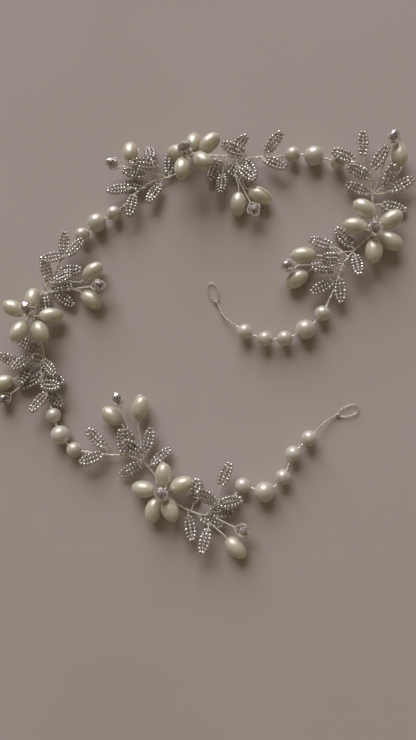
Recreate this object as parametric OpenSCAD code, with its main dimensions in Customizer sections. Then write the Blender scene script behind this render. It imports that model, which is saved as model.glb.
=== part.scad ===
// Hair vine of fine silvered wire, laid flat: four flowers of oval pearls, each between two
// leaf sprigs, joined by short runs of round pearls, with a wire loop at each end.
// X is to the right, Y away from the viewer, Z up from the surface it lies on, in millimetres.

/* [Whole vine] */
// Length of the laid vine, from its top to its bottom
vine_l = 139; // [139:1:168]

/* [Round pearls] */
// Diameter of the small round pearls
small_d = 5; // [4:0.1:6]
// Diameter of the large round pearls
large_d = 6.4; // [5.4:0.1:7.7]

/* [Oval pearls] */
// Length of an oval pearl along its bore
oval_l = 8; // [6.6:0.1:9.7]
// Diameter of an oval pearl across its bore
oval_d = 5.4; // [4.5:0.1:6.5]
// Diameter of the bore through an oval pearl or a crystal
bore_d = 1; // [0.8:0.1:1.2]

/* [Crystals] */
// Width of the faceted crystal on a flower
flower_crystal_d = 5.4; // [4.4:0.1:6.5]
// Width of the faceted crystal in a spray
spray_crystal_d = 4.6; // [3.8:0.1:5.6]

/* [Leaves] */
// Length of a beaded leaf
leaf_l = 8.6; // [7:0.1:10.4]
// Width of a beaded leaf
leaf_w = 4.2; // [3.4:0.1:5.1]
// Thickness of a beaded leaf, which is one seed bead
leaf_t = 1.5; // [1.2:0.1:1.8]

/* [Wire] */
// Thickness of the twisted main wire
main_d = 0.7; // [0.5:0.05:0.85]
// Thickness of the twisted stalks and of the wires through the oval pearls
stalk_d = 0.5; // [0.4:0.05:0.6]
// Thickness of the single wire of the end loops
loop_wire_d = 0.5; // [0.4:0.05:0.6]
// Length of an end loop, from the twist to its tip
loop_l = 7.5; // [6:0.1:9]
// Width of an end loop, outside
loop_w = 3.2; // [2.6:0.1:3.9]

/* [Hidden] */
$fn = 48;

// Sides of a swept wire
SIDES = 8;
// Clearance between two pieces that meet
gap = 0.1;
// Clearance where two wires meet end to end at an angle
end_gap = 0.25;
// Clearance below the lowest wires and leaves
floor_gap = 0.3;
// Height of the main wire where it runs through the pearls
thread_z = large_d / 2;
// Height of the main wire under a flower
under_z = floor_gap + main_d / 2 + 0.6;
// Diameter of the knot that joins a flower to the main wire below it
foot_knot_d = 2.4 * main_d;
// Diameter of the knot in which the wires of a flower's petals meet
hub_knot_d = 3.6 * stalk_d;
// Diameter of the bends beside a flower's crystal
elbow_d = 1.3 * stalk_d;
// Length of a crystal along its bore and width of its end faces, as shares of its width
crystal_share = 0.7;
TABLE_SHARE = 0.56;
// How far a wire stands out of the far end of its bead
stub = 0.2;
// How far above its knot a flower's wires would meet if its petals lay on the main wire
low_hub = main_d / 2 + 0.4;
// How far from the hub the middle of a flower's crystal is
crystal_rise = hub_knot_d / 2 + 3 * gap + flower_crystal_d / 2;
// How far from the hub a petal's middle is, before its own share: far enough that two petals
// about 60 degrees apart just clear each other
petal_reach = norm([oval_l / 2, 0.88 * oval_d]);
// Free wire between a spray's oval pearl and the bend in its stalk
neck = 1.2;
// How far a stalk reaches into its leaf
root = 0.9;

// The middle of the laid vine and its length, in the chart that the tables below use
mid = [-3.64, 9.8];
CHART_L = 139;

// Main wire through each pearl run: [x, y] of the ends (first and last) and of the pearls between
RUNS = [
    [[9.5, 14], [12.5, 12], [19, 9.5], [25.2, 9.5], [31.8, 12.2], [37.2, 17.2], [38.8, 20.4]],
    [[46.2, 67], [43, 66.8], [35.4, 69.2], [28.5, 70.1], [25.2, 69.6]],
    [[-29, 55.2], [-31.7, 53.4], [-37.7, 50.4], [-42.8, 46.5], [-45.2, 44]],
    [[-52.8, -11.4], [-51.5, -14.7], [-49, -21.2], [-44.1, -26], [-40.6, -26.6]],
    [[9.2, -39.8], [11.5, -37], [18.4, -38.9], [24.1, -34.3], [27.4, -27], [32.4, -22.2], [34.8, -19.8]],
];
// Which pearls of each run are large
LARGE = [
    [false, false, false, true, false],
    [false, true, false],
    [false, true, false],
    [false, true, false],
    [false, true, false, false, false],
];

// Main wire of each sprig, from the flower outwards: [x, y, share of the way up from under to thread]
SPINES = [
    [[53.7, 43, 0], [49, 39, 0.2], [45, 34.5, 0.5], [43, 31, 0.7], [41.8, 27, 0.9], [38.8, 20.4, 1]],
    [[53.7, 43, 0], [54, 50, 0], [53.4, 56.5, 0.4], [53, 61, 0.7], [50.8, 65, 0.9], [46.2, 67, 1]],
    [[-5.2, 73.2, 0], [0.2, 72.6, 0], [5.2, 71.8, 0.3], [11.2, 70.4, 0.6], [18, 70, 0.9], [25.2, 69.6, 1]],
    [[-5.2, 73.2, 0], [-8.6, 69, 0], [-12, 66, 0.2], [-19, 64, 0.5], [-24.4, 60, 0.8], [-29, 55.2, 1]],
    [[-59.8, 18.6, 0], [-58.4, 24, 0], [-56.4, 28.5, 0.3], [-52.5, 33.3, 0.6], [-50, 38.4, 0.9], [-45.2, 44, 1]],
    [[-59.8, 18.6, 0], [-57.6, 11.4, 0], [-56, 6, 0.3], [-56.6, 0, 0.6], [-55, -6, 0.9], [-52.8, -11.4, 1]],
    [[-14, -39.5, 0], [-17, -34.6, 0], [-20.8, -30.2, 0.3], [-26, -28, 0.6], [-33, -27.6, 0.9], [-40.6, -26.6, 1]],
    [[-14, -39.5, 0], [-10, -43.2, 0], [-5.8, -45.2, 0.3], [-1, -46.4, 0.6], [5, -44.4, 0.9], [9.2, -39.8, 1]],
];

// Where the petals' wires meet, from the flower's knot: [x, y, height above low_hub as a share of
// an oval pearl's diameter]
HUBS = [
    [0, 0, 0.5],
    [1, -2.7, 1.16],
    [1, -0.4, 0.9],
    [0, 0, 0.5],
];
// Petals of each flower: [heading, pitch, share of the petals' reach at which its middle is,
// turn of the pearl about its middle]
PETALS = [
    [[113, 6, 1.22, 32], [166, 4, 0.96, 0], [31, 6, 0.96, 0], [325, -6, 1.02, 0], [267, 5, 1.1, 0]],
    [[246, 20, 1.08, 18], [314, 27, 1.02, 0], [29, -4, 1.1, 16], [88, -32, 0.98, 0], [161, -28, 1.02, 0]],
    [[155, 9, 1.02, 0], [92, -16, 1.04, 0], [4, -21, 1.06, 0], [244, 25, 1.06, 0], [305, 7, 1.03, 0]],
    [[171, -6, 1.04, 0], [85, 8, 0.9, 0], [22, 6, 1.1, 0], [242, -8, 1.06, 18], [297, 8, 0.94, 0]],
];

// Crystal of each flower: [heading in which it leans from above the hub, angle of the lean, heading of its bore]
CRYSTALS = [
    [252, 9, 8],
    [165, 22, 106],
    [90, 30, 20],
    [352, 10, 56],
];

// Oval pearls of the sprays: [sprig, x, y, height as a share of the pearl's diameter, heading, pitch,
// share of the spine where the stalk starts]
SPRAYS = [
    [1, 31.5, 36, 0.79, 178, 4, 0.3],
    [1, 29.3, 28.7, 0.54, 212, 0, 0.5],
    [2, 62, 67.4, 0.8, 94, -9, 0.45],
    [3, 10.6, 54.4, 0.57, 268, -4, 0.42],
    [3, 17.6, 56.8, 0.64, 330, -4, 0.5],
    [4, -25.8, 74, 0.86, 98, -26, 0.38],
    [5, -38.6, 33.4, 0.71, 38, 4, 0.5],
    [5, -39.2, 24.2, 0.54, 325, 0, 0.38],
    [6, -69.9, -3.8, 0.61, 198, -4, 0.5],
    [7, -31.5, -15, 0.57, 140, 0, 0.6],
    [7, -21.6, -12.4, 0.71, 78, 8, 0.36],
    [8, 9.3, -56.2, 0.57, 315, -4, 0.5],
];

// Crystal of each spray: [x, y, z, share of the spine where the stalk starts]
SPRAY_CRYSTALS = [
    [26.2, 32.2, 6.4, 0.5],
    [60.1, 72, 7.8, 0.44],
    [16, 51.4, 4.8, 0.38],
    [-31.8, 69.6, 6.4, 0.4],
    [-35.4, 28, 6.6, 0.3],
    [-69.4, -9.4, 3.2, 0.6],
    [-28.6, -9.4, 6.4, 0.42],
    [12, -51, 5, 0.6],
];

// Leaves of each sprig: [share of the spine, direction and length of the stalk in plan,
// heading, height of the base, pitch, roll]
LEAVES = [
    [
        [0.34, -41, 1.2, -82, 3, 22, 10],
        [0.68, -24, 0.5, -88, 3.6, -4, 0],
        [0.74, 156, 1.1, -152, 3.4, 8, -12],
        [0.6, 165, 1.7, 178, 4, 22, 15],
        [0.48, 151, 1.6, -170, 4.8, 38, -20],
        [0.4, 143, 5.9, 161, 2.4, 8, 10],
        [0.28, 139, 1.4, 128, 2.2, -6, 0],
    ],
    [
        [0.84, 180, 2, 153, 6.2, 8, -8],
        [0.8, 97, 2.9, 88, 4.4, 6, 20],
        [0.68, 60, 1.6, 52, 4.6, 18, -10],
        [0.47, 179, 0.8, 155, 2.2, 6, 12],
        [0.63, 210, 0.4, 157, 4.8, 24, -12],
        [0.5, 1, 4.2, 71, 2.6, 31, 12],
        [0.47, 1, 5.4, 23, 3, 12, -8],
        [0.32, 5, 2.5, -16, 2.4, -6, 0],
    ],
    [
        [0.41, 75, 0.8, 33, 3, 18, 10],
        [0.6, 92, 0.4, 160, 4.8, 20, -10],
        [0.8, 60, 1.1, 45, 4, 20, 25],
        [0.78, -57, 1.3, -28, 4.2, 6, -8],
        [0.58, -88, 1.2, -59, 3.2, 16, 12],
        [0.42, -105, 3.7, -35, 2.6, 0, 0],
        [0.4, -105, 6.3, -93, 2.4, 20, 10],
        [0.31, -105, 1.3, -112, 1.9, 0, 0],
        [0.53, -88, 4.1, -48, 5, 14, -10],
    ],
    [
        [0.36, 100, 0.9, 88, 1.6, -4, 0],
        [0.49, 103, 6, 107, 6, -34, 12],
        [0.45, 106, 3.9, 174, 4.8, 14, -10],
        [0.58, 120, 2.4, 165, 3.6, 4, 10],
        [0.65, -60, 0.4, 162, 2.6, -6, 0],
        [0.76, 146, 2.2, -174, 4.2, 6, 14],
        [0.8, -53, 0.5, -100, 4, 12, -14],
        [0.45, -95, 1.9, -120, 2.6, 10, 0],
    ],
    [
        [0.78, 15, 0.8, 88, 4, 8, 30],
        [0.75, 15, 2.6, 38, 4.8, 6, -10],
        [0.75, 38, 1.9, -162, 4.2, 24, 10],
        [0.42, 27, 1.2, 100, 3, 22, 30],
        [0.61, -22, 1.6, 0, 3.6, 6, 8],
        [0.49, -42, 2.4, 12, 5.2, 14, -12],
        [0.39, -42, 2.3, 8, 2, 4, 0],
        [0.41, -42, 4.2, -35, 2.4, -4, 8],
        [0.31, -25, 0.5, -84, 1.9, -4, 0],
    ],
    [
        [0.46, 164, 2.7, -140, 4.6, 16, 10],
        [0.38, 164, 1.4, 157, 2, 4, 0],
        [0.54, -178, 7.4, 151, 2.6, 12, -10],
        [0.55, -178, 6, -102, 2.4, -4, 12],
        [0.5, -178, 4.3, -106, 2.8, 12, -10],
        [0.68, -166, 0.4, -159, 3, -4, 0],
        [0.5, 2, 1, -43, 4, 18, 12],
        [0.64, 14, 0.4, -22, 2.6, -4, -10],
        [0.76, -158, 0.4, -5, 4.4, 16, 0],
        [0.88, 38, 1.1, -128, 4.8, 14, 10],
        [0.8, -79, 1, -37, 3, -4, -12],
    ],
    [
        [0.75, 105, 2.6, 135, 4, 8, 10],
        [0.58, 92, 0.6, 93, 3.6, 10, -8],
        [0.48, 78, 2.5, 100, 5.4, 28, 12],
        [0.38, 65, 3.6, 77, 3, 8, 0],
        [0.39, 65, 2.7, 141, 5, 32, 10],
        [0.3, 40, 1.7, 39, 2.2, 4, -30],
        [0.76, 174, 1, -160, 4.4, 4, 8],
        [0.38, -115, 0.6, -151, 2.6, 0, -12],
    ],
    [
        [0.39, 74, 2.3, 81, 1.9, -4, 0],
        [0.77, 92, 7.2, 66, 4.4, 8, -10],
        [0.77, 130, 2.4, 140, 4.6, 32, 0],
        [0.8, 138, 1.7, 15, 5.2, 14, 10],
        [0.7, 130, 1.1, 13, 2.8, -4, -8],
        [0.62, 130, 0.4, -1, 3.8, -14, 10],
        [0.49, -85, 1.2, -17, 2.2, 4, 12],
        [0.36, -93, 1.6, -77, 2.4, 14, 0],
        [0.59, -85, 4.5, -103, 3.4, 24, 10],
    ],
];

// Twisted end wires, from the pearl run to the loop: [x, y, share of the way down to the surface]
END_WIRES = [
    [[9.5, 14, 0], [7.2, 15.8, 0.4], [5.2, 17.8, 0.8], [3.6, 21, 1], [2.6, 22.8, 1]],
    [[34.8, -19.8, 0], [37, -17.6, 0.4], [39.6, -15.8, 0.8], [42, -14.6, 1]],
];
// Heading of each end loop
LOOP_HEADINGS = [108, 20];
// Points around an end loop
LOOP_POINTS = 18;
// Shares of a leaf's length at which its outline has a corner
LEAF_SHARES = [0.02, 0.2, 0.5, 0.8, 0.98];

FLOWERS = len(PETALS);
SPRIGS = len(SPINES);

// A point of the chart, moved so that the origin is below the middle of the vine
function at(x, y, z) = [(x - mid.x) * vine_l / CHART_L, (y - mid.y) * vine_l / CHART_L, z];
function unit(v) = v / norm(v);
// The direction with a given heading in plan and a given pitch above the surface
function aim(heading, pitch) = [cos(pitch) * cos(heading), cos(pitch) * sin(heading), sin(pitch)];
function blend(a, b, share) = a + (b - a) * share;
// The point a given share of the way along a list of points
function lengths(points) = [for (i = [1:len(points) - 1]) norm(points[i] - points[i - 1])];
function total(list, i = 0) = i < len(list) ? list[i] + total(list, i + 1) : 0;
function walk(points, left, i = 0) =
    let (step = norm(points[i + 1] - points[i]))
    left <= step || i == len(points) - 2
        ? blend(points[i], points[i + 1], left / step)
        : walk(points, left - step, i + 1);
function along(points, share) = walk(points, share * total(lengths(points)));

function spine(i) = [for (p = SPINES[i]) at(p.x, p.y, blend(under_z, thread_z, p.z))];
// The spine cut back at both ends, clear of the flower's knot and of the run's wire
function cut_spine(i) =
    let (s = spine(i), n = len(s) - 1)
    [
        for (k = [0:n])
            k == 0 ? s[0] + unit(s[1] - s[0]) * (foot_knot_d / 2 + gap)
            : k == n ? s[n] - unit(s[n] - s[n - 1]) * end_gap
            : s[k]
    ];
function run_points(i) = [for (p = RUNS[i]) at(p.x, p.y, thread_z)];
function knot(i) = spine(2 * i)[0];
function hub(i) = knot(i) + [HUBS[i].x, HUBS[i].y, low_hub + HUBS[i].z * oval_d];

// Turns something that points along +Z into a given direction
module point(place, v) {
    translate(place) rotate([0, acos(v.z / norm(v)), atan2(v.y, v.x)]) children();
}
module rod(a, b, d) {
    point(a, b - a) cylinder(h = norm(b - a), d = d);
}

// The direction of a route at one of its points
function heading_at(points, k, closed) =
    let (n = len(points))
    closed ? unit(points[(k + 1) % n] - points[(k + n - 1) % n])
    : unit(points[min(k + 1, n - 1)] - points[max(k - 1, 0)]);
function ring(place, way, d) =
    let (side = unit(cross(way, [0, 0, 1])), over = cross(side, way))
    [for (a = [0:SIDES - 1]) place + d / 2 * (cos(a * 360 / SIDES) * side + sin(a * 360 / SIDES) * over)];

// A wire of one thickness along a route, with flat ends unless the route is closed
module tube(points, d, closed = false) {
    n = len(points);
    rings = closed ? n : n - 1;
    polyhedron(
        [for (k = [0:n - 1]) each ring(points[k], heading_at(points, k, closed), d)],
        concat(
            [for (k = [0:rings - 1]) for (a = [0:SIDES - 1])
                let (b = (a + 1) % SIDES, here = k * SIDES, next = ((k + 1) % n) * SIDES)
                each [[here + a, here + b, next + b], [here + a, next + b, next + a]]],
            closed ? [] : [
                [for (a = [SIDES - 1:-1:0]) a],
                [for (a = [0:SIDES - 1]) (n - 1) * SIDES + a],
            ]
        ),
        convexity = 10
    );
}

// Lays something that points along +X in a given direction
module lay(place, heading, pitch, roll = 0) {
    translate(place) rotate([0, 0, heading]) rotate([0, -pitch, 0]) rotate([roll, 0, 0]) children();
}

// An oval pearl along X, its middle at the origin, with its bore
module oval_pearl() {
    rotate([0, 90, 0])
        difference() {
            scale([oval_d / oval_l, oval_d / oval_l, 1]) sphere(d = oval_l);
            cylinder(h = 2 * oval_l, d = bore_d, center = true);
        }
}

// How far from its middle an oval pearl's wire ends
far_end = oval_l / 2 + stub;

// A faceted crystal with its bore's line along Z, its middle at the origin
module crystal(d) {
    hull() {
        cylinder(h = 0.2 * d, d = d, center = true, $fn = 8);
        rotate([0, 0, 22.5]) cylinder(h = crystal_share * d, d = TABLE_SHARE * d, center = true, $fn = 8);
    }
}

// A beaded leaf from its base along +X: a plate with a pointed outline
module leaf() {
    outline = concat(
        [for (t = LEAF_SHARES) [t * leaf_l, pow(sin(180 * t), 0.9) * leaf_w / 2]],
        [for (k = [len(LEAF_SHARES) - 1:-1:0])
            let (t = LEAF_SHARES[k])
            [t * leaf_l, -pow(sin(180 * t), 0.9) * leaf_w / 2]]
    );
    hull() linear_extrude(leaf_t, center = true) polygon(outline);
}

// How far from a run's point its wire starts: inside the pearl there, or at the end of the run
function inside(i, k) =
    k == 0 || k == len(RUNS[i]) - 1 ? 0 : (LARGE[i][k - 1] ? large_d : small_d) / 2 - 1;

module pearl_run(i) {
    points = run_points(i);
    pearls = len(points) - 2;
    color("antiquewhite") {
        for (k = [1:pearls])
            translate(points[k]) sphere(d = LARGE[i][k - 1] ? large_d : small_d);
        for (k = [1:len(points) - 1])
            let (way = unit(points[k] - points[k - 1]))
            rod(points[k - 1] + way * inside(i, k - 1), points[k] - way * inside(i, k), main_d);
    }
}

// The route of an end loop along +X, from its foot around and back, a narrow drop in plan
function loop_route(foot, heading) = [
    for (a = [0:360 / LOOP_POINTS:359])
        let (x = (loop_l - loop_wire_d) * (1 - cos(a)) / 2, y = (loop_w - loop_wire_d) / 2 * sin(a) * (1.16 - 0.3 * cos(a)))
        foot + x * [cos(heading), sin(heading), 0] + y * [-sin(heading), cos(heading), 0]
];

module end_wire(i) {
    low = floor_gap + main_d / 2;
    points = [for (p = END_WIRES[i]) at(p.x, p.y, blend(thread_z, low, p.z))];
    n = len(points) - 1;
    start = points[0] + unit(points[1] - points[0]) * end_gap;
    foot = points[n] - unit(points[n] - points[n - 1]) * main_d;
    color("silver") {
        tube([for (k = [0:n]) k == 0 ? start : points[k]], main_d);
        tube(loop_route(foot, LOOP_HEADINGS[i]), loop_wire_d, closed = true);
    }
}

// The way from a flower's hub to its crystal, the crystal's middle and the direction of its bore
function crystal_way(i) = aim(CRYSTALS[i].x, 90 - CRYSTALS[i].y);
function crystal_place(i) = hub(i) + crystal_rise * crystal_way(i);
function crystal_bore(i) =
    let (way = crystal_way(i), level = aim(CRYSTALS[i].z, 0))
    unit(level - (level * way) * way);
// The direction of a petal's bore, and its middle
function petal_bore(p) = aim(p[0] + p[3], p[1]);
function petal_place(i, p) = hub(i) + aim(p[0], p[1]) * p[2] * petal_reach;

// A ball where a wire bends, turned so that its poles lie on the wire
module bend_ball(before, place, after) {
    z = unit(before - place);
    way = unit(after - place);
    x = unit((way * z) * z - way);
    y = cross(z, x);
    multmatrix([
        [x.x, y.x, z.x, place.x],
        [x.y, y.y, z.y, place.y],
        [x.z, y.z, z.z, place.z],
    ]) sphere(d = elbow_d);
}

// A wire of straight lengths, with a ball at each bend
module bent_rod(points, d) {
    n = len(points) - 1;
    for (k = [1:n]) {
        way = unit(points[k] - points[k - 1]);
        rod(points[k - 1] + way * (k > 1 ? d / 4 : 0), points[k] - way * (k < n ? d / 4 : 0), d);
    }
    for (k = [1:n - 1]) bend_ball(points[k - 1], points[k], points[k + 1]);
}

module flower_wire(i) {
    h = hub(i);
    foot = knot(i);
    rise = unit(h - foot);
    place = crystal_place(i);
    out = crystal_bore(i) * (crystal_share * flower_crystal_d / 2 + gap + stalk_d);
    drop = crystal_way(i) * (TABLE_SHARE * flower_crystal_d / 2 + 3 * gap);
    knees = [place - out - drop, place + out - drop];
    color("silver") {
        translate(foot) sphere(d = foot_knot_d);
        rod(foot + rise * foot_knot_d / 4, h - rise * hub_knot_d / 4, stalk_d);
        // Turned about the upright, so that the two round bodies don't share a seam
        point(h, rise) rotate([0, 0, 40]) sphere(d = hub_knot_d);
        bent_rod([
            h + unit(knees[0] - h) * hub_knot_d / 3, knees[0], place - out,
            place + out, knees[1], h + unit(knees[1] - h) * hub_knot_d / 3,
        ], stalk_d);
        for (p = PETALS[i]) {
            place = petal_place(i, p);
            way = petal_bore(p);
            bend = place - way * (oval_l / 2 + stalk_d);
            start = h + unit((p[3] == 0 ? place : bend) - h) * hub_knot_d / 3;
            if (p[3] == 0) rod(start, place + way * far_end, stalk_d);
            else bent_rod([start, bend, place + way * far_end], stalk_d);
        }
    }
}

module flower_crystal(i) {
    bore = crystal_bore(i);
    color("gainsboro")
        lay(crystal_place(i), atan2(bore.y, bore.x), asin(bore.z))
            rotate([0, 90, 0])
                difference() {
                    crystal(flower_crystal_d);
                    cylinder(h = 2 * flower_crystal_d, d = bore_d, center = true);
                }
}

module petal(i, j) {
    p = PETALS[i][j];
    color("ivory") lay(petal_place(i, p), p[0] + p[3], p[1]) oval_pearl();
}

function spray_place(p) = at(p[1], p[2], p[3] * oval_d);

module spray_pearl(k) {
    p = SPRAYS[k];
    color("ivory") lay(spray_place(p), p[4], p[5]) oval_pearl();
}

module spray_stalk(i, p) {
    bend = spray_place(p) - aim(p[4], p[5]) * (oval_l / 2 + neck);
    far = spray_place(p) + aim(p[4], p[5]) * far_end;
    tube([along(spine(i), p[6]), bend, far], stalk_d);
}

module crystal_stalk(i) {
    p = SPRAY_CRYSTALS[i];
    place = at(p[0], p[1], p[2]);
    foot = along(spine(i), p[3]);
    v = place - foot;
    tube([foot, place], stalk_d);
    translate(place) rotate([90, 0, atan2(v.y, v.x)]) crystal(spray_crystal_d);
}

module leaf_on_stalk(i, p) {
    foot = along(spine(i), p[0]);
    base = [foot.x + p[2] * cos(p[1]), foot.y + p[2] * sin(p[1]), p[4]];
    rod(foot, base + aim(p[3], p[5]) * root, stalk_d, $fn = 6);
    lay(base, p[3], p[5], p[6]) leaf();
}

module leaf_sprig(i) {
    color("lightgray") {
        tube(cut_spine(i), main_d);
        for (p = LEAVES[i]) leaf_on_stalk(i, p);
        for (p = SPRAYS) if (p[0] == i + 1) spray_stalk(i, p);
        crystal_stalk(i);
    }
}

for (i = [1:len(RUNS)])
    pearl_run(i - 1);
for (i = [1:len(END_WIRES)])
    end_wire(i - 1);
for (i = [1:SPRIGS])
    leaf_sprig(i - 1);
for (i = [1:FLOWERS])
    flower_wire(i - 1);
for (i = [1:FLOWERS])
    flower_crystal(i - 1);
for (i = [1:FLOWERS])
    for (j = [1:len(PETALS[i - 1])])
        petal(i - 1, j - 1);
for (i = [1:len(SPRAYS)])
    spray_pearl(i - 1);
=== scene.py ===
"""Looks of the hair vine: pearls, seed-bead leaves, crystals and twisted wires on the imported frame."""

import math
import random

import bpy
import numpy as np
from mathutils import Matrix, Vector


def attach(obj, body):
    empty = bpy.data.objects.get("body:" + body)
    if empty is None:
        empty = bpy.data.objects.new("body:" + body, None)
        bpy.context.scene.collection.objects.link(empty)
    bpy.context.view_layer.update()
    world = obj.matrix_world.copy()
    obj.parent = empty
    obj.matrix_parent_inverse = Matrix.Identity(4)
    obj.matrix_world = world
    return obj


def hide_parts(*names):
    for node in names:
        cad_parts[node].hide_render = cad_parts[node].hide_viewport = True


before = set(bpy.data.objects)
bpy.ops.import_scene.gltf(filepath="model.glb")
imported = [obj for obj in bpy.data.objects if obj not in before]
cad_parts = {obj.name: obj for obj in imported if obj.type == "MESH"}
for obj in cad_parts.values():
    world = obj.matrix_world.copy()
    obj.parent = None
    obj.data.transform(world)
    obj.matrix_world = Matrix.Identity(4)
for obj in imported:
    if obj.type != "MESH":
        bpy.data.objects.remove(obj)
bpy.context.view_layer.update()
rng = random.Random(11)
MM = 0.001

# Named sizes in millimetres, as in the CAD
SMALL_D = 5.0
LARGE_D = 6.4
OVAL_L = 8.0
OVAL_D = 5.4
BORE_D = 1.0
FLOWER_CRYSTAL_D = 5.4
SPRAY_CRYSTAL_D = 4.6
LEAF_L = 8.6
LEAF_W = 4.2
BEAD_D = 1.4
MAIN_D = 0.7
STALK_D = 0.5
LOOP_WIRE_D = 0.5
LOOP_L = 7.5
LOOP_W = 3.2
FLOOR_GAP = 0.3
THREAD_Z = LARGE_D / 2
UNDER_Z = FLOOR_GAP + MAIN_D / 2 + 0.6
HUB_KNOT_D = 3.6 * STALK_D
LOW_HUB = MAIN_D / 2 + 0.4
PETAL_REACH = math.hypot(OVAL_L / 2, 0.88 * OVAL_D)
CRYSTAL_SHARE = 0.7
NECK = 1.2
# Middle of the laid vine in the chart that the tables below use
MID = np.array([-3.64, 9.8, 0.0])

# Steps along the shown wires, and the length in which two strands turn once round each other
STEP = 0.2
RUN_TURN = 3.2
SPRIG_TURN = 4.6
END_TURN = 1.7
STALK_TURN = 1.5
PETAL_TURN = 1.2
# Radii of the single wires
LEAF_WIRE_R = 0.12
BORE_WIRE_R = 0.14
KNOT_WIRE_R = 0.17
LOOP_R = 0.35 * LOOP_WIRE_D
# Advance of a wrapped wire in each of its turns
WRAP_PITCH = 0.34
# Sides of a pearl and of a crystal, counted round the bore
PEARL_SIDES = 36
CRYSTAL_SIDES = 10

# Main wire through each pearl run: x, y of the ends (first and last) and of the pearls between
RUNS = [
    [(9.5, 14), (12.5, 12), (19, 9.5), (25.2, 9.5), (31.8, 12.2), (37.2, 17.2), (38.8, 20.4)],
    [(46.2, 67), (43, 66.8), (35.4, 69.2), (28.5, 70.1), (25.2, 69.6)],
    [(-29, 55.2), (-31.7, 53.4), (-37.7, 50.4), (-42.8, 46.5), (-45.2, 44)],
    [(-52.8, -11.4), (-51.5, -14.7), (-49, -21.2), (-44.1, -26), (-40.6, -26.6)],
    [(9.2, -39.8), (11.5, -37), (18.4, -38.9), (24.1, -34.3), (27.4, -27), (32.4, -22.2), (34.8, -19.8)],
]
# Which pearl of each run is large
LARGE = [3, 1, 1, 1, 1]
# Main wire of each sprig, from the flower outwards: x, y, share of the way up from under to thread
SPINES = [
    [(53.7, 43, 0), (49, 39, 0.2), (45, 34.5, 0.5),
     (43, 31, 0.7), (41.8, 27, 0.9), (38.8, 20.4, 1)],
    [(53.7, 43, 0), (54, 50, 0), (53.4, 56.5, 0.4),
     (53, 61, 0.7), (50.8, 65, 0.9), (46.2, 67, 1)],
    [(-5.2, 73.2, 0), (0.2, 72.6, 0), (5.2, 71.8, 0.3),
     (11.2, 70.4, 0.6), (18, 70, 0.9), (25.2, 69.6, 1)],
    [(-5.2, 73.2, 0), (-8.6, 69, 0), (-12, 66, 0.2),
     (-19, 64, 0.5), (-24.4, 60, 0.8), (-29, 55.2, 1)],
    [(-59.8, 18.6, 0), (-58.4, 24, 0), (-56.4, 28.5, 0.3),
     (-52.5, 33.3, 0.6), (-50, 38.4, 0.9), (-45.2, 44, 1)],
    [(-59.8, 18.6, 0), (-57.6, 11.4, 0), (-56, 6, 0.3),
     (-56.6, 0, 0.6), (-55, -6, 0.9), (-52.8, -11.4, 1)],
    [(-14, -39.5, 0), (-17, -34.6, 0), (-20.8, -30.2, 0.3),
     (-26, -28, 0.6), (-33, -27.6, 0.9), (-40.6, -26.6, 1)],
    [(-14, -39.5, 0), (-10, -43.2, 0), (-5.8, -45.2, 0.3),
     (-1, -46.4, 0.6), (5, -44.4, 0.9), (9.2, -39.8, 1)],
]
# Where the petals' wires meet, from the flower's knot: x, y, height in diameters of an oval pearl
HUBS = [(0, 0, 0.5), (1, -2.7, 1.16), (1, -0.4, 0.9), (0, 0, 0.5)]
# Petals of each flower: heading, pitch, share of the petals' reach, turn of the pearl about its middle
PETALS = [
    [(113, 6, 1.22, 32), (166, 4, 0.96, 0), (31, 6, 0.96, 0),
     (325, -6, 1.02, 0), (267, 5, 1.1, 0)],
    [(246, 20, 1.08, 18), (314, 27, 1.02, 0), (29, -4, 1.1, 16),
     (88, -32, 0.98, 0), (161, -28, 1.02, 0)],
    [(155, 9, 1.02, 0), (92, -16, 1.04, 0), (4, -21, 1.06, 0),
     (244, 25, 1.06, 0), (305, 7, 1.03, 0)],
    [(171, -6, 1.04, 0), (85, 8, 0.9, 0), (22, 6, 1.1, 0),
     (242, -8, 1.06, 18), (297, 8, 0.94, 0)],
]
# Crystal of each flower: heading and angle of its lean, heading of its bore
CRYSTALS = [(252, 9, 8), (165, 22, 106), (90, 30, 20), (352, 10, 56)]
# Oval pearls of the sprays: sprig, x, y, height in diameters of the pearl, heading, pitch, share of
# the spine where the stalk starts
SPRAYS = [
    (1, 31.5, 36, 0.79, 178, 4, 0.3),
    (1, 29.3, 28.7, 0.54, 212, 0, 0.5),
    (2, 62, 67.4, 0.8, 94, -9, 0.45),
    (3, 10.6, 54.4, 0.57, 268, -4, 0.42),
    (3, 17.6, 56.8, 0.64, 330, -4, 0.5),
    (4, -25.8, 74, 0.86, 98, -26, 0.38),
    (5, -38.6, 33.4, 0.71, 38, 4, 0.5),
    (5, -39.2, 24.2, 0.54, 325, 0, 0.38),
    (6, -69.9, -3.8, 0.61, 198, -4, 0.5),
    (7, -31.5, -15, 0.57, 140, 0, 0.6),
    (7, -21.6, -12.4, 0.71, 78, 8, 0.36),
    (8, 9.3, -56.2, 0.57, 315, -4, 0.5),
]
# Crystal of each spray: x, y, z, share of the spine where the stalk starts
SPRAY_CRYSTALS = [
    (26.2, 32.2, 6.4, 0.5),
    (60.1, 72, 7.8, 0.44),
    (16, 51.4, 4.8, 0.38),
    (-31.8, 69.6, 6.4, 0.4),
    (-35.4, 28, 6.6, 0.3),
    (-69.4, -9.4, 3.2, 0.6),
    (-28.6, -9.4, 6.4, 0.42),
    (12, -51, 5, 0.6),
]
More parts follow.
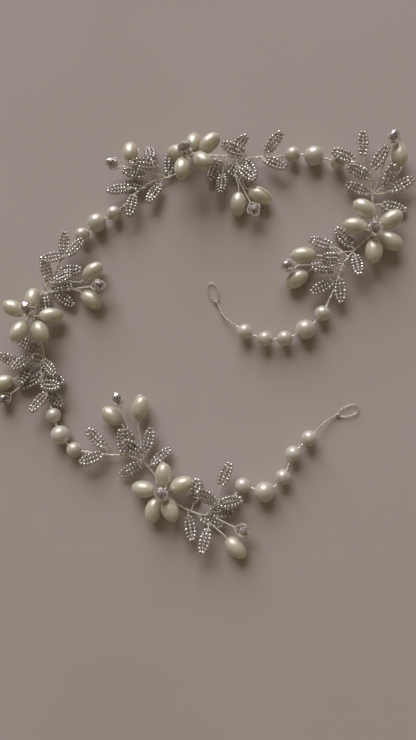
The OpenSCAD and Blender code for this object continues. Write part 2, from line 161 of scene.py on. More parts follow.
# Leaves of each sprig: share of the spine, direction and length of the stalk in plan, heading,
# height of the base, pitch, roll
LEAVES = [
    [
        (0.34, -41, 1.2, -82, 3, 22, 10),
        (0.68, -24, 0.5, -88, 3.6, -4, 0),
        (0.74, 156, 1.1, -152, 3.4, 8, -12),
        (0.6, 165, 1.7, 178, 4, 22, 15),
        (0.48, 151, 1.6, -170, 4.8, 38, -20),
        (0.4, 143, 5.9, 161, 2.4, 8, 10),
        (0.28, 139, 1.4, 128, 2.2, -6, 0),
    ],
    [
        (0.84, 180, 2, 153, 6.2, 8, -8),
        (0.8, 97, 2.9, 88, 4.4, 6, 20),
        (0.68, 60, 1.6, 52, 4.6, 18, -10),
        (0.47, 179, 0.8, 155, 2.2, 6, 12),
        (0.63, 210, 0.4, 157, 4.8, 24, -12),
        (0.5, 1, 4.2, 71, 2.6, 31, 12),
        (0.47, 1, 5.4, 23, 3, 12, -8),
        (0.32, 5, 2.5, -16, 2.4, -6, 0),
    ],
    [
        (0.41, 75, 0.8, 33, 3, 18, 10),
        (0.6, 92, 0.4, 160, 4.8, 20, -10),
        (0.8, 60, 1.1, 45, 4, 20, 25),
        (0.78, -57, 1.3, -28, 4.2, 6, -8),
        (0.58, -88, 1.2, -59, 3.2, 16, 12),
        (0.42, -105, 3.7, -35, 2.6, 0, 0),
        (0.4, -105, 6.3, -93, 2.4, 20, 10),
        (0.31, -105, 1.3, -112, 1.9, 0, 0),
        (0.53, -88, 4.1, -48, 5, 14, -10),
    ],
    [
        (0.36, 100, 0.9, 88, 1.6, -4, 0),
        (0.49, 103, 6, 107, 6, -34, 12),
        (0.45, 106, 3.9, 174, 4.8, 14, -10),
        (0.58, 120, 2.4, 165, 3.6, 4, 10),
        (0.65, -60, 0.4, 162, 2.6, -6, 0),
        (0.76, 146, 2.2, -174, 4.2, 6, 14),
        (0.8, -53, 0.5, -100, 4, 12, -14),
        (0.45, -95, 1.9, -120, 2.6, 10, 0),
    ],
    [
        (0.78, 15, 0.8, 88, 4, 8, 30),
        (0.75, 15, 2.6, 38, 4.8, 6, -10),
        (0.75, 38, 1.9, -162, 4.2, 24, 10),
        (0.42, 27, 1.2, 100, 3, 22, 30),
        (0.61, -22, 1.6, 0, 3.6, 6, 8),
        (0.49, -42, 2.4, 12, 5.2, 14, -12),
        (0.39, -42, 2.3, 8, 2, 4, 0),
        (0.41, -42, 4.2, -35, 2.4, -4, 8),
        (0.31, -25, 0.5, -84, 1.9, -4, 0),
    ],
    [
        (0.46, 164, 2.7, -140, 4.6, 16, 10),
        (0.38, 164, 1.4, 157, 2, 4, 0),
        (0.54, -178, 7.4, 151, 2.6, 12, -10),
        (0.55, -178, 6, -102, 2.4, -4, 12),
        (0.5, -178, 4.3, -106, 2.8, 12, -10),
        (0.68, -166, 0.4, -159, 3, -4, 0),
        (0.5, 2, 1, -43, 4, 18, 12),
        (0.64, 14, 0.4, -22, 2.6, -4, -10),
        (0.76, -158, 0.4, -5, 4.4, 16, 0),
        (0.88, 38, 1.1, -128, 4.8, 14, 10),
        (0.8, -79, 1, -37, 3, -4, -12),
    ],
    [
        (0.75, 105, 2.6, 135, 4, 8, 10),
        (0.58, 92, 0.6, 93, 3.6, 10, -8),
        (0.48, 78, 2.5, 100, 5.4, 28, 12),
        (0.38, 65, 3.6, 77, 3, 8, 0),
        (0.39, 65, 2.7, 141, 5, 32, 10),
        (0.3, 40, 1.7, 39, 2.2, 4, -30),
        (0.76, 174, 1, -160, 4.4, 4, 8),
        (0.38, -115, 0.6, -151, 2.6, 0, -12),
    ],
    [
        (0.39, 74, 2.3, 81, 1.9, -4, 0),
        (0.77, 92, 7.2, 66, 4.4, 8, -10),
        (0.77, 130, 2.4, 140, 4.6, 32, 0),
        (0.8, 138, 1.7, 15, 5.2, 14, 10),
        (0.7, 130, 1.1, 13, 2.8, -4, -8),
        (0.62, 130, 0.4, -1, 3.8, -14, 10),
        (0.49, -85, 1.2, -17, 2.2, 4, 12),
        (0.36, -93, 1.6, -77, 2.4, 14, 0),
        (0.59, -85, 4.5, -103, 3.4, 24, 10),
    ],
]
# Twisted end wires, from the pearl run to the loop: x, y, share of the way down to the surface
END_WIRES = [
    [(9.5, 14, 0), (7.2, 15.8, 0.4), (5.2, 17.8, 0.8), (3.6, 21, 1), (2.6, 22.8, 1)],
    [(34.8, -19.8, 0), (37, -17.6, 0.4), (39.6, -15.8, 0.8), (42, -14.6, 1)],
]
LOOP_HEADINGS = [108, 20]


def unit(v):
    v = np.asarray(v, float)
    return v / np.linalg.norm(v)


def at(x, y, z):
    """A point of the chart in the row frame, in millimetres."""
    return np.array([x, y, z], float) - MID


def aim(heading, pitch):
    h = math.radians(heading)
    p = math.radians(pitch)
    return np.array([math.cos(p) * math.cos(h), math.cos(p) * math.sin(h), math.sin(p)])


def lay(heading, pitch, roll=0.0):
    """Axes of something that points along +X, laid in a given direction."""
    turn = Matrix.Rotation(math.radians(heading), 3, "Z")
    turn = turn @ Matrix.Rotation(math.radians(-pitch), 3, "Y")
    turn = turn @ Matrix.Rotation(math.radians(roll), 3, "X")
    return np.array(turn)


def distances(points):
    """How far along a list of points each of them lies."""
    steps = np.linalg.norm(np.diff(points, axis=0), axis=1)
    return np.concatenate([[0], np.cumsum(steps)])


def point_at(points, reached, s):
    """The point a given distance along a list of points."""
    return np.array([np.interp(s, reached, points[:, k]) for k in range(3)])


def along(points, share):
    """The point a given share of the way along a list of points."""
    reached = distances(points)
    return point_at(points, reached, share * reached[-1])


def nearest(route, place):
    """The point of a route that is nearest to a place."""
    return route[int(np.argmin(np.linalg.norm(route - place, axis=1)))]


def resample(points, step, closed=False):
    """Evenly spaced points along a polyline."""
    points = np.asarray(points, float)
    if closed:
        points = np.vstack([points, points[:1]])
    reached = distances(points)
    n = max(2, int(round(reached[-1] / step)))
    wanted = np.linspace(0, reached[-1], n + 1)
    if closed:
        wanted = wanted[:-1]
    return np.stack([np.interp(wanted, reached, points[:, k]) for k in range(3)], axis=1)


def curve(points, step):
    """Evenly spaced points on a centripetal Catmull-Rom spline through the given points."""
    points = np.asarray(points, float)
    if len(points) < 3:
        return resample(points, step)
    padded = np.vstack([2 * points[0] - points[1], points, 2 * points[-1] - points[-2]])
    gaps = np.linalg.norm(np.diff(padded, axis=0), axis=1)
    knots = np.concatenate([[0], np.cumsum(np.sqrt(gaps))])
    out = []
    for k in range(1, len(padded) - 2):
        p = padded[k - 1:k + 3]
        t = knots[k - 1:k + 3]
        for s in np.linspace(t[1], t[2], 16, endpoint=False):
            a = [p[j] + (p[j + 1] - p[j]) * (s - t[j]) / (t[j + 1] - t[j]) for j in range(3)]
            b = [a[j] + (a[j + 1] - a[j]) * (s - t[j]) / (t[j + 2] - t[j]) for j in range(2)]
            out.append(b[0] + (b[1] - b[0]) * (s - t[1]) / (t[2] - t[1]))
    out.append(points[-1])
    return resample(out, step)


def sides_of(route, closed=False):
    """Two steady directions across a route at each of its points."""
    route = np.asarray(route, float)
    if closed:
        ahead = np.roll(route, -1, axis=0) - np.roll(route, 1, axis=0)
    else:
        ahead = np.gradient(route, axis=0)
    ahead = ahead / np.linalg.norm(ahead, axis=1)[:, None]
    across = np.array([0.0, 0.0, 1.0])
    if abs(ahead[0] @ across) > 0.9:
        across = np.array([1.0, 0.0, 0.0])
    first = []
    for t in ahead:
        across = unit(across - t * (across @ t))
        first.append(across)
    first = np.array(first)
    return first, np.cross(ahead, first)


class Shape:
    """The vertices, faces and tones of one piece, gathered in millimetres."""

    def __init__(self):
        self.points = []
        self.faces = []
        self.slots = []
        self.smooth = []
        self.tones = []
        self.count = 0

    def add(self, points, faces, slots=0, smooth=True, tone=0.5):
        """Adds vertices and faces, with one slot and smoothness for all faces or one for each."""
        base = self.count
        self.points.append(np.asarray(points, float))
        self.faces.extend([tuple(base + k for k in face) for face in faces])
        self.slots.extend([slots] * len(faces) if isinstance(slots, int) else slots)
        self.smooth.extend([smooth] * len(faces) if isinstance(smooth, bool) else smooth)
        self.tones.append(np.full(len(points), tone))
        self.count += len(points)

    def sweep(self, route, radius, sides=6, closed=False):
        """A round wire along a route."""
        route = np.asarray(route, float)
        first, second = sides_of(route, closed)
        n = len(route)
        turn = np.arange(sides) * 2 * math.pi / sides
        ring = first[:, None, :] * np.cos(turn)[None, :, None]
        ring = ring + second[:, None, :] * np.sin(turn)[None, :, None]
        points = (route[:, None, :] + ring * radius).reshape(-1, 3)
        faces = []
        for k in range(n if closed else n - 1):
            here = k * sides
            there = ((k + 1) % n) * sides
            for a in range(sides):
                b = (a + 1) % sides
                faces.append((here + a, here + b, there + b, there + a))
        if not closed:
            faces.append(tuple(range(sides - 1, -1, -1)))
            faces.append(tuple((n - 1) * sides + a for a in range(sides)))
        self.add(points, faces)

    def twist(self, route, strand_r, turn, start=0.0):
        """Two strands of wire twisted round each other along a route."""
        route = resample(route, turn / 9)
        first, second = sides_of(route)
        reached = distances(route)
        for strand in (0.0, math.pi):
            angle = start + strand + reached * 2 * math.pi / turn
            offset = first * np.cos(angle)[:, None] + second * np.sin(angle)[:, None]
            self.sweep(route + offset * strand_r, strand_r)

    def wrap(self, place, axis, radius, turns, pitch, wire_r):
        """A few turns of wire round something, centred at a place."""
        n = max(6, int(10 * turns))
        first, second = sides_of([place - axis, place, place + axis])
        share = np.linspace(-0.5, 0.5, n + 1)
        angle = share * turns * 2 * math.pi
        around = np.outer(np.cos(angle), first[0]) + np.outer(np.sin(angle), second[0])
        self.sweep(place + np.outer(share * turns * pitch, axis) + radius * around, wire_r)

    def lathe(self, profile, place, axes, sides, tone, scale=1.0, slots=None):
        """A closed profile of (x, radius) turned about the line that a bead is strung on. Where
        slots gives a band a material other than the first, the band is flat."""
        profile = np.asarray(profile, float) * scale
        turn = np.arange(sides) * 2 * math.pi / sides
        local = np.stack([
            np.repeat(profile[:, 0], sides),
            np.outer(profile[:, 1], np.cos(turn)).ravel(),
            np.outer(profile[:, 1], np.sin(turn)).ravel(),
        ], axis=1)
        faces = []
        kinds = []
        n = len(profile)
        for k in range(n):
            here = k * sides
            there = ((k + 1) % n) * sides
            for a in range(sides):
                b = (a + 1) % sides
                faces.append((here + a, here + b, there + b, there + a))
                kinds.append(slots[k] if slots else 0)
        self.add(local @ axes.T + place, faces, kinds, [kind == 0 for kind in kinds], tone)

    def piece(self, name, materials, replaced=()):
        """Makes the piece, rides it on the vine's body and hides the CAD nodes that it replaces."""
        mesh = bpy.data.meshes.new(name)
        mesh.from_pydata((np.concatenate(self.points) * MM).tolist(), [], self.faces)
        for material in materials:
            mesh.materials.append(material)
        mesh.polygons.foreach_set("material_index", self.slots)
        mesh.polygons.foreach_set("use_smooth", self.smooth)
        tone = mesh.attributes.new("tone", "FLOAT", "POINT")
        tone.data.foreach_set("value", np.concatenate(self.tones).astype(np.float32))
        mesh.update()
        obj = bpy.data.objects.new(name, mesh)
        bpy.context.scene.collection.objects.link(obj)
        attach(obj, "root")
        if replaced:
            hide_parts(*replaced)


def pearl_profile(length, width, rim=0.14, steps=20):
    """A pearl's skin from one rounded rim of its bore to the other, and back through the bore."""
    half = length / 2
    bore = BORE_D / 2 - 0.08
    start = math.asin((bore + rim) / (width / 2))
    outer = []
    for k in range(steps + 1):
        a = start + (math.pi - 2 * start) * k / steps
        outer.append((-half * math.cos(a), width / 2 * math.sin(a)))
    edge = -outer[0][0]
    rims = [(edge + 0.02, bore + rim * 0.45), (edge - 0.06, bore)]
    return [(-x, r) for x, r in reversed(rims)] + outer + rims


def crystal_parts(width):
    """Rings of a faceted bead's corners along its bore: (x, radius, turn in steps of a side)."""
    half = CRYSTAL_SHARE * width / 2
    r = width / 2
    rings = [(-half, 0.5 * r, 0), (-0.62 * half, 0.84 * r, 0.5), (-0.17 * half, r, 0)]
    return rings + [(-x, radius, s) for x, radius, s in reversed(rings)]


def add_crystal(shape, place, axes, width):
    """A faceted bead with its bore along the first of its axes."""
    sides = CRYSTAL_SIDES
    rings = crystal_parts(width)
    half = CRYSTAL_SHARE * width / 2
    points = []
    for x, radius, offset in rings:
        for a in range(sides):
            turn = (a + offset) * 2 * math.pi / sides
            points.append((x, radius * math.cos(turn), radius * math.sin(turn)))
    bore = BORE_D / 2
    for x in (half, -half):
        for a in range(sides):
            turn = a * 2 * math.pi / sides
            points.append((x, bore * math.cos(turn), bore * math.sin(turn)))
    faces = []
    for k in range(len(rings) - 1):
        here = k * sides
        there = (k + 1) * sides
        lead = rings[k][2]
        after = rings[k + 1][2]
        for a in range(sides):
            b = (a + 1) % sides
            if lead == after:
                faces.append((here + a, there + a, there + b, here + b))
            elif after > lead:
                faces.append((here + a, there + a, here + b))
                faces.append((here + b, there + a, there + b))
            else:
                faces.append((here + a, there + a, there + b))
                faces.append((here + a, there + b, here + b))
    last = (len(rings) - 1) * sides
    near = len(rings) * sides
    far = near + sides
    for a in range(sides):
        b = (a + 1) % sides
        faces.append((last + a, near + a, near + b, last + b))
        faces.append((near + a, far + a, far + b, near + b))
        faces.append((far + a, a, b, far + b))
    shape.add(np.array(points) @ axes.T + place, faces, smooth=False)


# Materials

def new_material(name):
    material = bpy.data.materials.new(name)
    material.use_nodes = True
    tree = material.node_tree
    return material, tree, tree.nodes["Principled BSDF"]


def place_noise(tree, scale, detail=3.0):
    where = tree.nodes.new("ShaderNodeTexCoord")
    noise = tree.nodes.new("ShaderNodeTexNoise")
    noise.inputs["Scale"].default_value = scale
    noise.inputs["Detail"].default_value = detail
    tree.links.new(where.outputs["Object"], noise.inputs["Vector"])
    return noise.outputs["Fac"]


def ramp(tree, value, stops):
    node = tree.nodes.new("ShaderNodeValToRGB")
    while len(node.color_ramp.elements) < len(stops):
        node.color_ramp.elements.new(0.5)
    for element, (place, colour) in zip(node.color_ramp.elements, stops):
        element.position = place
        element.color = (*colour, 1.0)
    tree.links.new(value, node.inputs["Fac"])
    return node.outputs["Color"]


def span(tree, value, low, high, from_low=0.0, from_high=1.0):
    node = tree.nodes.new("ShaderNodeMapRange")
    node.inputs["From Min"].default_value = from_low
    node.inputs["From Max"].default_value = from_high
    node.inputs["To Min"].default_value = low
    node.inputs["To Max"].default_value = high
    tree.links.new(value, node.inputs["Value"])
    return node.outputs["Result"]


def bump(tree, shader, height, distance, strength):
    node = tree.nodes.new("ShaderNodeBump")
    node.inputs["Strength"].default_value = strength
    node.inputs["Distance"].default_value = distance
    tree.links.new(height, node.inputs["Height"])
    tree.links.new(node.outputs["Normal"], shader.inputs["Normal"])


def pearl_material(name, low, high):
    material, tree, shader = new_material(name)
    colour = ramp(tree, place_noise(tree, 260, 2), [(0.3, low), (0.7, high)])
    tree.links.new(colour, shader.inputs["Base Color"])
    tree.links.new(span(tree, place_noise(tree, 900), 0.32, 0.42), shader.inputs["Roughness"])
    shader.inputs["Metallic"].default_value = 0.15
    shader.inputs["Subsurface Weight"].default_value = 0.5
    shader.inputs["Subsurface Radius"].default_value = (0.0014, 0.0012, 0.0009)
    shader.inputs["Subsurface Scale"].default_value = 1.0
    shader.inputs["IOR"].default_value = 2.0
    shader.inputs["Specular Tint"].default_value = (0.95, 0.97, 1.0, 1.0)
    shader.inputs["Coat Weight"].default_value = 0.45
    shader.inputs["Coat Roughness"].default_value = 0.1
    shader.inputs["Sheen Weight"].default_value = 0.35
    shader.inputs["Sheen Roughness"].default_value = 0.35
    shader.inputs["Sheen Tint"].default_value = (1.0, 0.95, 0.80, 1.0)
    bump(tree, shader, place_noise(tree, 1400, 2), 0.00002, 0.5)
    return material


def bead_material():
    material, tree, shader = new_material("bead_glass")
    tone = tree.nodes.new("ShaderNodeAttribute")
    tone.attribute_name = "tone"
    stops = [(0.0, (0.62, 0.54, 0.49)), (0.6, (0.88, 0.81, 0.755)), (1.0, (1.0, 0.98, 0.95))]
    colour = ramp(tree, tone.outputs["Fac"], stops)
    tree.links.new(colour, shader.inputs["Base Color"])
    tree.links.new(span(tree, place_noise(tree, 2500), 0.12, 0.26), shader.inputs["Roughness"])
    tree.links.new(span(tree, tone.outputs["Fac"], 0.08, 0.8, 0.45, 0.95), shader.inputs["Metallic"])
    shader.inputs["Transmission Weight"].default_value = 0.6
    shader.inputs["IOR"].default_value = 1.52
    shader.inputs["Coat Weight"].default_value = 1.0
    shader.inputs["Coat Roughness"].default_value = 0.04
    return material


def lining_material():
    material, tree, shader = new_material("bead_lining")
    stops = [(0.35, (0.80, 0.77, 0.73)), (0.65, (0.97, 0.95, 0.92))]
    colour = ramp(tree, place_noise(tree, 1800), stops)
    tree.links.new(colour, shader.inputs["Base Color"])
    shader.inputs["Metallic"].default_value = 1.0
    shader.inputs["Roughness"].default_value = 0.3
    return material


def crystal_material():
    material, tree, shader = new_material("crystal_glass")
    stops = [(0.3, (0.38, 0.315, 0.305)), (0.7, (0.56, 0.49, 0.47))]
    colour = ramp(tree, place_noise(tree, 300, 1), stops)
    tree.links.new(colour, shader.inputs["Base Color"])
    tree.links.new(span(tree, place_noise(tree, 2000), 0.1, 0.24), shader.inputs["Roughness"])
    shader.inputs["Transmission Weight"].default_value = 0.7
    shader.inputs["IOR"].default_value = 1.54
    shader.inputs["Specular IOR Level"].default_value = 0.22
    return material


def wire_material(name, low, high):
    material, tree, shader = new_material(name)
    colour = ramp(tree, place_noise(tree, 700), [(0.3, low), (0.7, high)])
    tree.links.new(colour, shader.inputs["Base Color"])
    tree.links.new(span(tree, place_noise(tree, 1500), 0.26, 0.4), shader.inputs["Roughness"])
    shader.inputs["Metallic"].default_value = 0.35
    shader.inputs["Coat Weight"].default_value = 0.5
    shader.inputs["Coat Roughness"].default_value = 0.12
    bump(tree, shader, place_noise(tree, 4000), 0.00001, 0.3)
    return material


def floor_material():
    material, tree, shader = new_material("plain_floor")
    stops = [(0.3, (0.50, 0.438, 0.402)), (0.7, (0.53, 0.468, 0.432))]
    colour = ramp(tree, place_noise(tree, 9, 4), stops)
    tree.links.new(colour, shader.inputs["Base Color"])
    shader.inputs["Roughness"].default_value = 0.9
    shader.inputs["Specular IOR Level"].default_value = 0.2
    return material


PEARL = pearl_material("oval_pearl_lustre", (0.63, 0.57, 0.44), (0.78, 0.72, 0.585))
ROUND_PEARL = pearl_material("round_pearl_lustre", (0.63, 0.57, 0.485), (0.775, 0.715, 0.635))
BEAD = bead_material()
LINING = lining_material()
CRYSTAL = crystal_material()
WIRE = wire_material("silvered_wire", (0.93, 0.87, 0.74), (1.0, 0.97, 0.88))
END_WIRE = wire_material("dull_wire", (0.62, 0.56, 0.46), (0.80, 0.74, 0.64))

SMALL_PROFILE = pearl_profile(SMALL_D, SMALL_D)
LARGE_PROFILE = pearl_profile(LARGE_D, LARGE_D)
OVAL_PROFILE = pearl_profile(OVAL_L, OVAL_D)


def oval_pearl(name, node, place, heading, pitch):
    pearl = Shape()
    pearl.lathe(OVAL_PROFILE, place, lay(heading, pitch), PEARL_SIDES, rng.random())
    pearl.piece(name, [PEARL], [node])


def crystal(name, place, heading, pitch, width, nodes=()):
    shape = Shape()
    add_crystal(shape, place, lay(heading, pitch, rng.uniform(0, 360 / CRYSTAL_SIDES)), width)
    shape.piece(name, [CRYSTAL], nodes)


def spine(i):
    return np.array([at(x, y, UNDER_Z + (THREAD_Z - UNDER_Z) * z) for x, y, z in SPINES[i]])


def hub(i):
    x, y, rise = HUBS[i]
    return spine(2 * i)[0] + np.array([x, y, LOW_HUB + rise * OVAL_D])


# Runs of round pearls

for i, run in enumerate(RUNS):
    points = np.array([at(x, y, THREAD_Z) for x, y in run])
    thread = curve(points, STEP)
    pearls = Shape()
    for k in range(1, len(points) - 1):
        here = int(np.argmin(np.linalg.norm(thread - points[k], axis=1)))
        direction = thread[min(here + 2, len(thread) - 1)] - thread[max(here - 2, 0)]
        heading = math.degrees(math.atan2(direction[1], direction[0]))
        profile = LARGE_PROFILE if k - 1 == LARGE[i] else SMALL_PROFILE
        axes = lay(heading, 0, rng.uniform(0, 90))
        pearls.lathe(profile, points[k], axes, PEARL_SIDES, rng.random())
    pearls.piece(f"run_{i + 1}_pearls", [ROUND_PEARL], [f"pearl_run_{i + 1}"])
    wire = Shape()
    wire.twist(thread, MAIN_D / 4, RUN_TURN)
    wire.piece(f"run_{i + 1}_wire", [WIRE])


# Free ends, each closed into a loop

def loop_route(foot, heading):
    """A loop that starts and ends at its foot and is widest beyond its middle."""
    ahead = aim(heading, 0)
    aside = aim(heading + 90, 0)
    route = []
    for k in range(40):
        a = 2 * math.pi * k / 40
        x = (LOOP_L - LOOP_WIRE_D) * (1 - math.cos(a)) / 2
        y = (LOOP_W - LOOP_WIRE_D) / 2 * math.sin(a) * (1.16 - 0.3 * math.cos(a))
        route.append(foot + x * ahead + y * aside)
    return np.array(route)


for i, (chart, heading) in enumerate(zip(END_WIRES, LOOP_HEADINGS)):
    low = FLOOR_GAP + MAIN_D / 2
    points = np.array([at(x, y, THREAD_Z + (low - THREAD_Z) * z) for x, y, z in chart])
    last = unit(points[-1] - points[-2])
    wire = Shape()
    wire.twist(curve(points, STEP), MAIN_D / 4, END_TURN)
    wire.sweep(loop_route(points[-1] - last * MAIN_D, heading), LOOP_R, sides=8, closed=True)
    wire.wrap(points[-1] - last * 0.5, last, MAIN_D / 2 + 0.08, 3, WRAP_PITCH, 0.15)
    wire.piece(f"end_{i + 1}_wire", [END_WIRE], [f"end_wire_{i + 1}"])


# Leaves of seed beads

# A seed bead's profile, (x, radius) with its silvered bore last, and the material of each band
BEAD_PROFILE = [
    (-0.44, 0.28), (-0.49, 0.42), (-0.38, 0.61), (-0.15, 0.71), (0.15, 0.71),
    (0.38, 0.61), (0.49, 0.42), (0.44, 0.28), (0.0, 0.24),
]
BEAD_SLOTS = [0, 0, 0, 0, 0, 0, 0, 1, 1]
BEAD_PITCH = 1.12
# Bare wire at a leaf's foot, and the beads on its rib
BARE_FOOT = 1.3
RIB_START = 2.0
RIB_BEADS = 5
RIB_PITCH = 1.08


def bead_axes(ahead, tilt):
    """Axes of a seed bead, the first along its thread."""
    ahead = unit(ahead)
    up = np.array([0.0, 0.0, 1.0])
    side = np.cross(up, ahead)
    if np.linalg.norm(side) < 1e-3:
        side = np.array([0.0, 1.0, 0.0])
    side = unit(side)
    axes = np.stack([ahead, side, np.cross(ahead, side)], axis=1)
    return axes @ np.array(Matrix.Rotation(tilt, 3, "X"))


def string_beads(shape, route, first, count, pitch):
    """Strings beads on a route, the first one a given way along it."""
    reached = distances(route)
    for k in range(count):
        s = first + k * pitch
        place = point_at(route, reached, s)
        before = point_at(route, reached, s - 0.3)
        after = point_at(route, reached, s + 0.3)
        lean = np.array([rng.uniform(-0.07, 0.07) for _ in range(3)])
        size = rng.uniform(0.93, 1.03)
        bright = rng.random()
        axes = bead_axes(unit(after - before) + lean, rng.uniform(0, 3))
        shape.lathe(BEAD_PROFILE, place, axes, 8, bright, scale=size, slots=BEAD_SLOTS)


def add_leaf(beads, wire, base, heading, pitch, roll):
    """A pointed loop of seed beads with a beaded rib, a little curled."""
    axes = lay(heading, pitch, roll)
    curl = rng.uniform(-0.5, 0.7)
    half = (LEAF_W - BEAD_D) / 2
    length = LEAF_L - BEAD_D / 2
    theta = np.linspace(0, 2 * math.pi, 97)
    x = length * (1 - np.cos(theta)) / 2
    y = half * np.sign(np.sin(theta)) * np.abs(np.sin(theta)) ** 0.95
    outline = np.stack([x, y, curl * (x / LEAF_L) ** 2], axis=1)
    outline = outline @ axes.T + base
    around = np.sum(np.linalg.norm(np.diff(outline, axis=0), axis=1))
    count = int((around - BARE_FOOT) / BEAD_PITCH)
    spacing = (around - BARE_FOOT) / count
    string_beads(beads, outline, BARE_FOOT / 2 + spacing / 2, count, spacing)
    wire.sweep(resample(outline[:-1], 0.5, closed=True), LEAF_WIRE_R, sides=5, closed=True)
    xs = np.linspace(0, length, 24)
    rib = np.stack([xs, 0 * xs, curl * (xs / LEAF_L) ** 2], axis=1) @ axes.T + base
    string_beads(beads, rib, RIB_START, RIB_BEADS, RIB_PITCH)
    wire.sweep(rib, LEAF_WIRE_R, sides=5)


def bent(foot, base, direction):
    """A stalk's route that leaves its foot straight and arrives along its leaf."""
    reach = np.linalg.norm(base - foot)
    control = base - unit(direction) * reach * 0.45
    s = np.linspace(0, 1, 12)[:, None]
    return (1 - s) ** 2 * foot + 2 * s * (1 - s) * control + s ** 2 * base


def bore_wire(wire, middle, heading, pitch, roll):
    """The single wire through an oval pearl, which turns back along its skin to the stalk."""
    axes = lay(heading, pitch, roll)
    reach = OVAL_L / 2
    through = [(x, 0, 0) for x in np.linspace(-reach - 0.5, reach, 6)]
    back = []
    for k in range(1, 25):
        a = math.pi * k / 25
        back.append(((reach + 0.24) * math.cos(a), (OVAL_D / 2 + 0.17) * math.sin(a) ** 0.9, 0))
    route = np.array(through + back + [(-reach - 0.55, 0.1, 0)]) @ axes.T + middle
    wire.sweep(resample(route, 0.35), BORE_WIRE_R)


# Which way round each pearl its wire turns back: degrees about its bore
SPRAY_ROLLS = [-110, -80, -30, -95, 60, 200, -90, 205, -100, -70, 20, 215]
PETAL_ROLLS = [
    [-90, -95, -80, -100, -90],
    [-90, -90, -95, -85, -90],
    [-90, -85, -95, -90, -90],
    [-95, -28, -90, -85, -90],
]

for i, leaves in enumerate(LEAVES):
    line = spine(i)
    main = curve(line, STEP)
    beads = Shape()
    wire = Shape()
    wire.twist(main, MAIN_D / 4, SPRIG_TURN, start=rng.uniform(0, 6))
    for share, toward, reach, heading, base_z, pitch, roll in leaves:
        start = along(line, share)
        foot = nearest(main, start)
        t = math.radians(toward)
        base = np.array([start[0] + reach * math.cos(t), start[1] + reach * math.sin(t), base_z])
        add_leaf(beads, wire, base, heading, pitch, roll)
        stalk = bent(foot, base, aim(heading, pitch))
        wire.twist(stalk, STALK_D / 4, STALK_TURN, start=rng.uniform(0, 6))
        ahead = unit(along(line, min(share + 0.03, 1)) - along(line, max(share - 0.03, 0)))
        wire.wrap(foot, ahead, MAIN_D / 2 + 0.06, 1.6, 0.36, LEAF_WIRE_R)
    for k, (sprig, x, y, rise, heading, pitch, share) in enumerate(SPRAYS):
        if sprig != i + 1:
            continue
        place = at(x, y, rise * OVAL_D)
        away = aim(heading, pitch)
        foot = nearest(main, along(line, share))
        bend = place - away * (OVAL_L / 2 + NECK)
        stalk = curve([foot, bend, place - away * (OVAL_L / 2 + 0.35)], STEP)
        wire.twist(stalk, STALK_D / 4, STALK_TURN, start=rng.uniform(0, 6))
        bore_wire(wire, place, heading, pitch, SPRAY_ROLLS[k])
        oval_pearl(f"spray_{k + 1}_pearl", f"spray_pearl_{k + 1}", place, heading, pitch)
    x, y, z, share = SPRAY_CRYSTALS[i]
    place = at(x, y, z)
    foot = nearest(main, along(line, share))
    away = unit(place - foot)
    turned = math.degrees(math.atan2(away[1], away[0])) - 90
    bore = aim(turned, 0)
    reach = CRYSTAL_SHARE * SPRAY_CRYSTAL_D / 2
    fork = place - away * (SPRAY_CRYSTAL_D / 2 + 1.1)
    wire.twist(resample([foot, fork], STEP), STALK_D / 4, STALK_TURN)
    behind = place - away * 1.1
    corner = bore * (reach + 0.45)
    side = bore * (reach + 0.3)
    inner = bore * reach * 0.5
    sling = [fork, behind + corner, place + side, place + inner,
             place - inner, place - side, behind - corner, fork]
    wire.sweep(curve(sling, 0.3), BORE_WIRE_R)
    crystal(f"sprig_{i + 1}_crystal", place, turned, 0, SPRAY_CRYSTAL_D)
    beads.piece(f"sprig_{i + 1}_beads", [BEAD, LINING], [f"leaf_sprig_{i + 1}"])
    wire.piece(f"sprig_{i + 1}_wire", [WIRE])


# Flowers

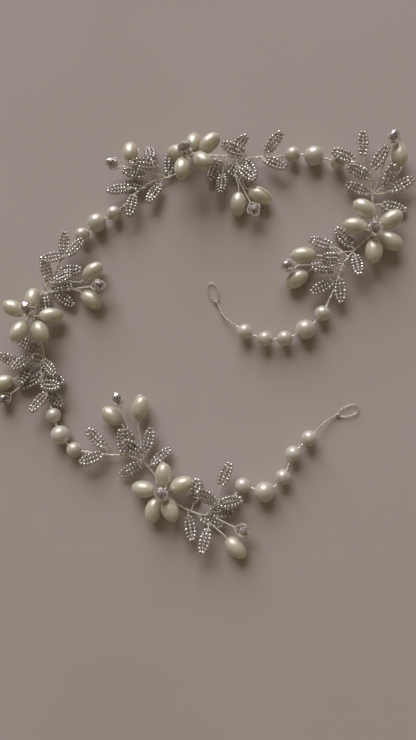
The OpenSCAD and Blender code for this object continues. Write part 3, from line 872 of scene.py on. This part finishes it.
for i, petals in enumerate(PETALS):
    h = hub(i)
    foot = spine(2 * i)[0]
    rise = unit(h - foot)
    lean_heading, lean, bore_heading = CRYSTALS[i]
    up = aim(lean_heading, 90 - lean)
    place = h + up * (HUB_KNOT_D / 2 + 0.3 + FLOWER_CRYSTAL_D / 2)
    level = aim(bore_heading, 0)
    bore = unit(level - up * (level @ up))
    out = bore * (CRYSTAL_SHARE * FLOWER_CRYSTAL_D / 2 + 0.1 + STALK_D)
    drop = up * (0.28 * FLOWER_CRYSTAL_D + 0.3)
    wire = Shape()
    wire.twist(resample([foot, h], STEP), STALK_D / 4, PETAL_TURN)
    wire.wrap(foot, unit(spine(2 * i)[1] - foot), MAIN_D / 2 + 0.16, 5, WRAP_PITCH, KNOT_WIRE_R)
    wire.wrap(h - rise * 0.2, rise, 0.42, 4, WRAP_PITCH, KNOT_WIRE_R)
    for side in (out, -out):
        arm = [h, place + side - drop, place + side * 0.97 - drop * 0.35, place + side * 0.8, place]
        wire.sweep(curve(arm, 0.25), KNOT_WIRE_R)
    for j, (toward, pitch, share, turn) in enumerate(petals):
        middle = h + aim(toward, pitch) * share * PETAL_REACH
        heading = toward + turn
        away = aim(heading, pitch)
        bend = middle - away * (OVAL_L / 2 + STALK_D)
        wire.twist(curve([h, bend, middle - away * (OVAL_L / 2 + 0.1)], STEP), STALK_D / 4, PETAL_TURN)
        bore_wire(wire, middle, heading, pitch, PETAL_ROLLS[i][j])
        oval_pearl(f"flower_{i + 1}_pearl_{j + 1}", f"petal_{i + 1}_{j + 1}", middle, heading, pitch)
    wire.piece(f"flower_{i + 1}_wire", [WIRE], [f"flower_wire_{i + 1}"])
    turned = math.degrees(math.atan2(bore[1], bore[0]))
    tilted = math.degrees(math.asin(bore[2]))
    nodes = [f"flower_crystal_{i + 1}"]
    crystal(f"flower_{i + 1}_crystal", place, turned, tilted, FLOWER_CRYSTAL_D, nodes)


# Floor, light and camera

FLOOR_HALF = 3
corners = [(-FLOOR_HALF, -FLOOR_HALF, 0), (FLOOR_HALF, -FLOOR_HALF, 0),
           (FLOOR_HALF, FLOOR_HALF, 0), (-FLOOR_HALF, FLOOR_HALF, 0)]
mesh = bpy.data.meshes.new("floor")
mesh.from_pydata(corners, [], [(0, 1, 2, 3)])
floor = bpy.data.objects.new("floor", mesh)
mesh.materials.append(floor_material())
bpy.context.scene.collection.objects.link(floor)

scene = bpy.context.scene
world = bpy.data.worlds.new("room")
scene.world = world
world.use_nodes = True
world.node_tree.nodes["Background"].inputs["Color"].default_value = (1.0, 0.84, 0.54, 1.0)
world.node_tree.nodes["Background"].inputs["Strength"].default_value = 0.165


def area_light(name, direction, distance, size, power, colour):
    """A square light that looks at the middle of the vine from a given direction."""
    light = bpy.data.lights.new(name, "AREA")
    light.shape = "SQUARE"
    light.size = size
    light.energy = power
    light.color = colour
    obj = bpy.data.objects.new(name, light)
    obj.location = Vector(unit(direction) * distance)
    obj.rotation_euler = (-obj.location).to_track_quat("-Z", "Y").to_euler()
    scene.collection.objects.link(obj)


area_light("window", (-0.2, 1.0, 0.62), 4.0, 3.1, 147.0, (1.0, 1.0, 1.07))

camera = bpy.data.cameras.new("camera")
camera.lens = 31.135
camera.sensor_width = 36
camera.clip_start = 0.01
eye = bpy.data.objects.new("camera", camera)
scene.collection.objects.link(eye)
right = Vector((0.98904, 0.0, -0.14768))
up = Vector((0.01412, 0.99542, 0.09455))
back = right.cross(up)
camera_place = Matrix.Translation(Vector((34.51, -29.876, 206.746)) * MM)
eye.matrix_world = camera_place @ Matrix((right, up, back)).transposed().to_4x4()
scene.camera = eye
scene.view_settings.view_transform = "Standard"

bpy.context.view_layer.update()
